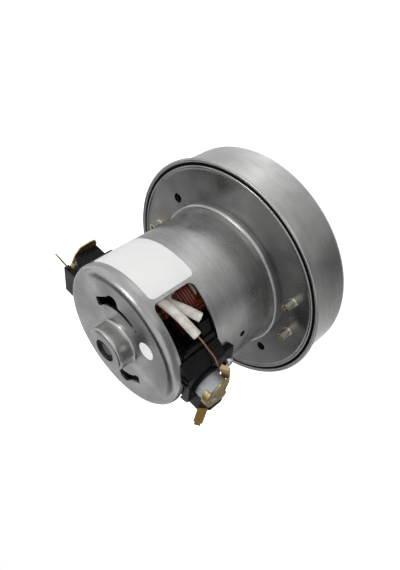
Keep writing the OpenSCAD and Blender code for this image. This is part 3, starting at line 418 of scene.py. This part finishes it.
for i in range(armature_slots):
    a = i * math.tau / armature_slots
    for layer in range(slot_layers):
        centre_r = first_layer_r + layer * layer_step
        for side in (-slot_wire_aside, slot_wire_aside):
            rings = [[turned_by(a, centre_r + slot_wire_r * math.cos(t),
                                side + slot_wire_r * math.sin(t), z) for t in wire_turns]
                     for z in slot_wire_ends]
            add_skin(coil_points, coil_faces, skin_rings(rings))
new_piece("armature_coils", coil_points, coil_faces, enamel, "rotor", "armature_winding",
          slot="enamelled_wire")

# Field: the laminated core is pressed into the frame. A coil of enamelled wire sits
# round each pole on insulating boards, with its outer layer of turns drawn one by one.
field_lamination = laminated_finish("field_lamination", pale=(0.3, 0.3, 0.31, 1),
                                    dark=(0.17, 0.17, 0.18, 1))
dress(field_lamination, "field_core")
insulating_board = grained_finish("insulating_board", (0.68, 0.64, 0.54, 1), (0.8, 0.77, 0.68, 1),
                                  smooth=0.55, rough=0.75, blots=(240, 5), gloss=(300, 3),
                                  grain=(900, 3), depth=0.05 * mm, Specular_IOR_Level=0.3)
dress(insulating_board, "field_insulators")
# the halves are angles in degrees from the middle of the pole
bundle_in_half, bundle_half_step = 30.4, 12.946
bundle_in_r, bundle_out_r, bundle_in_h, bundle_w = 24.2, 30.98, 15.9, 7.0
bundle_wires, wire_dent, steps_a_wire = 6, 0.16, 4
field_mid_z = 53.0
turn_r, turn_pitch, edge_turns, face_turns = 0.55, 1.55, 4, 3
turn_gap, turn_face_gap, turn_sides = 0.1, 0.3, 10
loop_steps = 72
bundle_steps = 2 * loop_steps


def round_the_pole(u):
    u = u % 4
    if u < 1:
        return -1, 2 * u - 1
    if u < 2:
        return 2 * u - 3, 1
    if u < 3:
        return 1, 5 - 2 * u
    return 7 - 2 * u, -1


def pole_point(pole, u, r, half, height):
    across, up = round_the_pole(u)
    a = math.radians(pole + across * half)
    return (r * math.cos(a), r * math.sin(a), field_mid_z + up * height)


def bundle_outline():
    outline = []
    for side in range(4):
        for i in range(bundle_wires * steps_a_wire):
            t = i / (bundle_wires * steps_a_wire)
            swell = wire_dent * (0.5 - 0.5 * math.cos(t * bundle_wires * math.tau))
            dent = (wire_dent - swell) / bundle_wires
            outline.append(((t, dent), (1 - dent, t), (1 - t, 1 - dent), (dent, 1 - t))[side])
    return outline


def turn_place(turn):
    if turn < edge_turns:
        return bundle_in_r + turn_r + turn * turn_pitch, turn_r + turn_gap
    grow = turn_r + turn_gap - (turn - edge_turns + 1) * turn_pitch
    return (bundle_out_r + turn_r + turn_face_gap,
            turn_r + turn_gap if turn == edge_turns else grow)


def swept(path, radii, sides, aims, swell=None):
    turns = [k * math.tau / sides for k in range(sides)]
    rings = []
    for i, point in enumerate(path):
        before, after = path[max(i - 1, 0)], path[min(i + 1, len(path) - 1)]
        ahead = (Vector(after) - Vector(before)).normalized()
        out = (aims[i] - aims[i].dot(ahead) * ahead).normalized()
        side = ahead.cross(out)
        grow = swell[i] if swell else 0.0
        rings.append([tuple(Vector(point) + (radii[0] + grow) * math.cos(t) * out
                            + (radii[1] + grow) * math.sin(t) * side) for t in turns])
    return skin_rings(rings)


def outward(path):
    return [Vector((p[0], p[1], 0)).normalized() for p in path]


outline = bundle_outline()
for letter, pole in (("a", 90), ("b", 270)):
    rings = []
    for i in range(bundle_steps):
        u = 4 * i / bundle_steps
        rings.append([pole_point(pole, u, bundle_in_r + y * (bundle_out_r - bundle_in_r),
                                 bundle_in_half + x * bundle_half_step, bundle_in_h + x * bundle_w)
                      for x, y in outline])
    points, faces = skin_rings(rings, closed=True)
    new_piece(f"coil_bundle_{letter}", points, faces, enamel, "frame", f"field_coil_{letter}",
              slot="enamelled_wire")
    path = []
    for i in range((edge_turns + face_turns) * loop_steps + 1):
        turn = i / loop_steps
        r, grow = turn_place(turn)
        half = bundle_in_half + bundle_half_step + math.degrees(grow / r)
        path.append(pole_point(pole, (turn % 1) * 4, r, half, bundle_in_h + bundle_w + grow))
    points, faces = swept(path, (turn_r, turn_r), turn_sides, outward(path))
    new_piece(f"outer_turns_{letter}", points, faces, enamel, "frame", f"field_winding_{letter}",
              slot="enamelled_wire")


# Brush gear: black glass-filled holders screwed on at the windows, plated barrels, brass
# tubes, carbon brushes pressed in by their springs, and brass caps and terminals.
dress(black_moulding, "brush_holder_a", "brush_holder_b")
barrel_zinc = plated_finish("barrel_zinc", pale=(0.42, 0.44, 0.455, 1), dark=(0.31, 0.33, 0.345, 1),
                            smooth=0.5, rough=0.65, depth=0.03 * mm, metal=0.35)
dress(barrel_zinc, "brush_barrel_a", "brush_barrel_b")
dress(brass, "brush_tube_a", "brush_tube_b")
cap_brass = turned_finish("cap_brass", pale=(0.62, 0.48, 0.25, 1), dark=(0.46, 0.33, 0.15, 1),
                          smooth=0.34, rough=0.5, rings=(1, 5, 1))
dress(cap_brass, "brush_cap_a", "brush_cap_b")
terminal_brass = turned_finish("terminal_brass", pale=(0.42, 0.27, 0.09, 1),
                               dark=(0.3, 0.18, 0.05, 1), smooth=0.4, rough=0.55, rings=(4, 1, 1))
dress(terminal_brass, "terminal_tab_a", "terminal_tab_b")
dress(screw_zinc, "holder_screws")
carbon = grained_finish("carbon", (0.02, 0.02, 0.022, 1), (0.06, 0.06, 0.062, 1),
                        smooth=0.4, rough=0.6, blots=(900, 2), gloss=(300, 3), grain=(1200, 2),
                        depth=0.03 * mm, Specular_IOR_Level=0.35)
dress(carbon, "carbon_brush_a", "carbon_brush_b")

spring_steel = turned_finish("spring_steel", pale=(0.6, 0.6, 0.61, 1), dark=(0.45, 0.45, 0.46, 1),
                             smooth=0.2, rough=0.32, rings=(8, 1, 1))
spring_turns, spring_r, spring_wire_r = 7, 2.0, 0.3
spring_from, spring_to, brush_z, brush_travel = 34.15, 50.05, 84.7, 4.0
steps_a_turn, spring_sides = 28, 10
spring_steps = spring_turns * steps_a_turn
length = spring_to - spring_from
for letter, side in (("a", 1), ("b", -1)):
    path, aims = [], []
    for i in range(spring_steps + 1):
        a = math.tau * spring_turns * i / spring_steps
        x = spring_from + spring_wire_r + (length - 2 * spring_wire_r) * i / spring_steps
        path.append((side * x, side * spring_r * math.cos(a), brush_z + spring_r * math.sin(a)))
        aims.append(Vector((0, side * math.cos(a), math.sin(a))))
    points, faces = swept(path, (spring_wire_r, spring_wire_r), spring_sides, aims)
    spring = new_piece(f"pressure_spring_{letter}", points, faces, spring_steel, "frame",
                       f"brush_spring_{letter}", slot="spring_steel")
    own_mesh(spring)


# Leads: the two ends of each field coil come out through off-white ribbed sleeves, and
# one bare copper lead goes on under the strap of the brush cap.
def smooth_path(points, steps):
    path = []
    for i in range(len(points) - 1):
        a = Vector(points[max(i - 1, 0)])
        b, c = Vector(points[i]), Vector(points[i + 1])
        d = Vector(points[min(i + 2, len(points) - 1)])
        for k in range(steps):
            t = k / steps
            path.append(0.5 * ((2 * b) + (c - a) * t + (2 * a - 5 * b + 4 * c - d) * t * t
                               + (3 * b - a - 3 * c + d) * t * t * t))
    path.append(Vector(points[-1]))
    return path


def half_turn(path, turned):
    return [Vector((-p[0], -p[1], p[2])) if turned else Vector(p) for p in path]


sleeve_cloth, tree, shader = new_finish("sleeve_cloth", Specular_IOR_Level=0.25, Sheen_Weight=0.2)
clean = ranged(tree, noise(tree, scale=260, detail=4), 0, 1)
link(tree, shader,
     Base_Color=mixed(tree, clean, (0.62, 0.58, 0.5, 1), (0.84, 0.82, 0.77, 1)),
     Roughness=ranged(tree, noise(tree, scale=300), low=0.6, high=0.8),
     Normal=relief(tree, noise(tree, scale=1400, detail=2), 0.1 * mm))
sleeve_routes = [
    [(-1, 30, 77.6), (-0.9, 30.9, 81), (0, 32, 84.4), (2.2, 33.2, 87.4), (5.4, 33.9, 89.4),
     (9.6, 34, 89.6), (14, 33, 88.6), (18.4, 31.2, 87.1), (23, 28.8, 85.6), (27.4, 25.8, 84.2),
     (31.6, 22.9, 82.9)],
    [(6.6, 28.4, 77.5), (7, 28.8, 80), (9, 29.2, 82.6), (12.4, 29.5, 84), (16, 29.6, 83),
     (19.6, 29.2, 81), (23, 28, 78.8), (26.5, 26.1, 76.3)]]
lead_start = Vector(sleeve_routes[0][-1])
lead_way = (lead_start - Vector(sleeve_routes[0][-2])).normalized()
lead_gap, lead_straight = 0.02, 2
lead_route = [lead_start + lead_gap * lead_way, lead_start + lead_straight * lead_way,
              (35.2, 20.9, 82.1), (37.2, 19.6, 81.8), (39.6, 18, 81.4), (42.4, 16.2, 80.9),
              (44.6, 13.8, 80.8), (45.8, 11.8, 80.5), (47.4, 10.8, 79.9), (50.6, 11.4, 79)]
sleeve_radii, sleeve_sides, sleeve_steps = (1.6, 2.6), 28, 40
lead_radii, lead_sides, lead_steps = (0.45, 0.45), 12, 12
rib_length, rib_depth = 0.55, 0.1
sleeve_points, sleeve_faces = [], []
lead_points, lead_faces = [], []
for turned in (False, True):
    for route in sleeve_routes:
        path = smooth_path(route, sleeve_steps)
        reach = [0.0]
        for i in range(1, len(path)):
            reach.append(reach[-1] + (path[i] - path[i - 1]).length)
        ribs = [rib_depth * math.cos(math.tau * s / rib_length) - rib_depth for s in reach]
        path = half_turn(path, turned)
        add_skin(sleeve_points, sleeve_faces,
                 swept(path, sleeve_radii, sleeve_sides, outward(path), ribs))
    path = half_turn(smooth_path(lead_route, lead_steps), turned)
    add_skin(lead_points, lead_faces, swept(path, lead_radii, lead_sides, outward(path)))
new_piece("ribbed_sleeves", sleeve_points, sleeve_faces, sleeve_cloth, "frame", "lead_sleeves",
          slot="sleeving")
bright_copper = turned_finish("bright_copper", pale=(0.5, 0.33, 0.27, 1), dark=(0.36, 0.2, 0.15, 1),
                              smooth=0.24, rough=0.38)
new_piece("copper_leads", lead_points, lead_faces, bright_copper, "frame", "lead_wires",
          slot="copper_wire")

# Labels: a white film stuck round the body and a small round one on the closed end, both
# satin and faintly uneven.
film = grained_finish("label_film", (0.8, 0.8, 0.79, 1), (0.86, 0.86, 0.855, 1),
                      smooth=0.3, rough=0.42, blots=(180, 4), gloss=(260, 3), grain=(150, 3),
                      depth=0.02 * mm, Coat_Weight=0.35, Coat_Roughness=0.12)
dress(film, "rating_label", "round_label")


# Studio: a white floor and surround, four soft lamps, and boards in plain greys that only
# the reflections see, as flags stand round a shiny product.
def studio_mesh(name, points, faces, material):
    mesh = bpy.data.meshes.new(name)
    mesh.from_pydata(points, [], faces)
    mesh.materials.append(material)
    thing = bpy.data.objects.new(name, mesh)
    bpy.context.scene.collection.objects.link(thing)
    return thing


def seen_directly(tree):
    rays = add_node(tree, "ShaderNodeLightPath").outputs
    either = maths(tree, "MAXIMUM", rays["Is Camera Ray"], rays["Is Glossy Ray"])
    return maths(tree, "MAXIMUM", either, rays["Is Transmission Ray"])


floor_half, floor_z, floor_glow = 3.0, -0.0002, 0.8
paper, tree, shader = new_finish("floor_paper", Base_Color=(0.8, 0.8, 0.8, 1), Roughness=0.9,
                                 Specular_IOR_Level=0.1, Emission_Color=(1, 1, 1, 1))
link(tree, shader, Emission_Strength=maths(tree, "MULTIPLY", seen_directly(tree), floor_glow))
# from below the floor is clear, so that the cover's face can be looked at
clear = add_node(tree, "ShaderNodeBsdfTransparent").outputs[0]
below = add_node(tree, "ShaderNodeNewGeometry").outputs["Backfacing"]
both = add_node(tree, "ShaderNodeMixShader", {0: below, 1: shader.outputs[0], 2: clear}).outputs[0]
tree.links.new(both, tree.nodes["Material Output"].inputs["Surface"])
floor_corners = [(x * floor_half, y * floor_half, floor_z)
                 for x, y in ((-1, -1), (1, -1), (1, 1), (-1, 1))]
studio_mesh("floor", floor_corners, [(0, 1, 2, 3)], paper)

# the surround is dimmer as a light than as what is seen
surround_light, surround_seen = 0.55, 1.0
world = bpy.data.worlds.new("surround")
bpy.context.scene.world = world
world.use_nodes = True
surround = world.node_tree.nodes["Background"]
surround.inputs["Color"].default_value = (1, 1, 1, 1)
feed(world.node_tree, surround.inputs["Strength"],
     ranged(world.node_tree, seen_directly(world.node_tree), surround_light, surround_seen,
            start=0.0, stop=1.0))

lamp_target = Vector((0, 0, 0.05))


def area_lamp(name, azimuth, elevation, distance, size, power, glossy):
    a, e = math.radians(azimuth), math.radians(elevation)
    away = Vector((math.cos(a) * math.cos(e), math.sin(a) * math.cos(e), math.sin(e)))
    light = bpy.data.lights.new(name, "AREA")
    light.size = size
    light.energy = power
    lamp = bpy.data.objects.new(name, light)
    bpy.context.scene.collection.objects.link(lamp)
    lamp.location = lamp_target + away * distance
    lamp.rotation_euler = away.to_track_quat("Z", "Y").to_euler()
    lamp.visible_glossy = glossy


area_lamp("key_lamp", azimuth=125, elevation=42, distance=0.8, size=0.45, power=2.2, glossy=False)
area_lamp("glint_lamp", azimuth=140, elevation=62, distance=0.9, size=0.16, power=0.8, glossy=True)
area_lamp("side_lamp", azimuth=30, elevation=30, distance=0.9, size=0.5, power=1.0, glossy=False)
area_lamp("top_lamp", azimuth=200, elevation=65, distance=0.9, size=0.4, power=1.0, glossy=False)


def glowing_finish(name, grey):
    return new_finish(name, Base_Color=(0, 0, 0, 1), Roughness=1.0, Specular_IOR_Level=0.0,
                      Emission_Color=(grey, grey, grey, 1), Emission_Strength=1.0)


def hang_board(name, points, faces, material):
    board = studio_mesh(name, points, faces, material)
    board.visible_camera = False
    board.visible_diffuse = False
    board.visible_transmission = False
    board.visible_shadow = False


brightest = 2.5


def shade_ramp(tree, share, stops):
    ramp = add_node(tree, "ShaderNodeValToRGB", {"Fac": share})
    spots = ramp.color_ramp.elements
    for at, shade in stops[1:-1]:
        spots.new(at)
    for spot, (at, shade) in zip(spots, stops):
        spot.position = at
        spot.color = (shade / brightest, shade / brightest, shade / brightest, 1)
    return add_node(tree, "ShaderNodeVectorMath",
                    {0: ramp.outputs["Color"], 1: (brightest, brightest, brightest)},
                    operation="MULTIPLY").outputs[0]


def hang_graded_board(name, points, faces, share_of, stops):
    material, tree, shader = glowing_finish(name, 0.0)
    link(tree, shader, Emission_Color=shade_ramp(tree, share_of(tree, place_parts(tree)), stops))
    hang_board(name, points, faces, material)


# two flat rings lie round the foot of the cover; the cover's wall mirrors the inner one
# and the body the outer one, and each stop is a share of the turn with its shade
ring_steps, ring_z = 72, 0.0008
ring_in_r, ring_mid_r, ring_out_r = 0.0655, 0.083, 1.2
inner_stops = [(0.0, 0.55), (0.1, 0.2), (0.2, 0.65), (0.27, 1.6),
               (0.34, 0.85), (0.65, 0.5), (0.93, 1.1), (1.0, 0.55)]
outer_stops = [(0.0, 0.7), (0.08, 0.32), (0.2, 0.8), (0.3, 1.5),
               (0.4, 0.75), (0.58, 0.55), (0.79, 0.07), (1.0, 0.7)]


def round_the_axis(tree, xyz):
    turn = maths(tree, "DIVIDE", maths(tree, "ARCTAN2", xyz["Y"], xyz["X"]), math.tau)
    return maths(tree, "FRACT", turn, 0.0)


def flat_ring(inner, outer):
    turns = [math.tau * i / ring_steps for i in range(ring_steps)]
    points = [(r * math.cos(a), r * math.sin(a), ring_z) for a in turns for r in (inner, outer)]
    count = len(points)
    faces = [(i, i + 1, (i + 3) % count, (i + 2) % count) for i in range(0, count, 2)]
    return points, faces


hang_graded_board("inner_ring", *flat_ring(ring_in_r, ring_mid_r), round_the_axis, inner_stops)
hang_graded_board("outer_ring", *flat_ring(ring_mid_r, ring_out_r), round_the_axis, outer_stops)

# two curved walls stand behind, each with a bright band over a grey foot, and a plain
# grey one stands at the side
wall_far, wall_low, wall_high, wall_step = 0.6, 0.16, 1.8, 5
foot_shade, foot_end, band_start, band_rise, band_fade = 0.2, 0.045, 0.067, 1.15, 0.02
side_far, side_low, side_high, side_shade = 0.7, 0.02, 0.7, 0.3
side_first, side_last, side_step = -40, 50, 10


def curved_wall(far, low, high, first, last, step):
    turns = [math.radians(a) for a in range(first, last + 1, step)]
    points = [(far * math.cos(a), far * math.sin(a), z) for a in turns for z in (low, high)]
    faces = [(2 * k, 2 * k + 2, 2 * k + 3, 2 * k + 1) for k in range(len(turns) - 1)]
    return points, faces


def up_the_wall(tree, xyz):
    return ranged(tree, xyz["Z"], 0, 1, wall_low, wall_high)


for name, first, last, band_shade, band_end, top_shade in (
        ("left_wall", -170, -115, 0.85, 0.158, 0.1),
        ("right_wall", -115, -60, 0.95, 0.134, 0.02)):
    points, faces = curved_wall(wall_far, wall_low, wall_high, first, last, wall_step)
    hang_graded_board(name, points, faces, up_the_wall,
                      [(0.0, foot_shade), (foot_end, foot_shade), (band_start, band_shade),
                       (band_end, band_shade * band_rise), (band_end + band_fade, top_shade),
                       (1.0, top_shade)])
points, faces = curved_wall(side_far, side_low, side_high, side_first, side_last, side_step)
hang_board("side_board", points, faces, glowing_finish("side_board", side_shade)[0])

bpy.context.scene.view_settings.view_transform = "Standard"
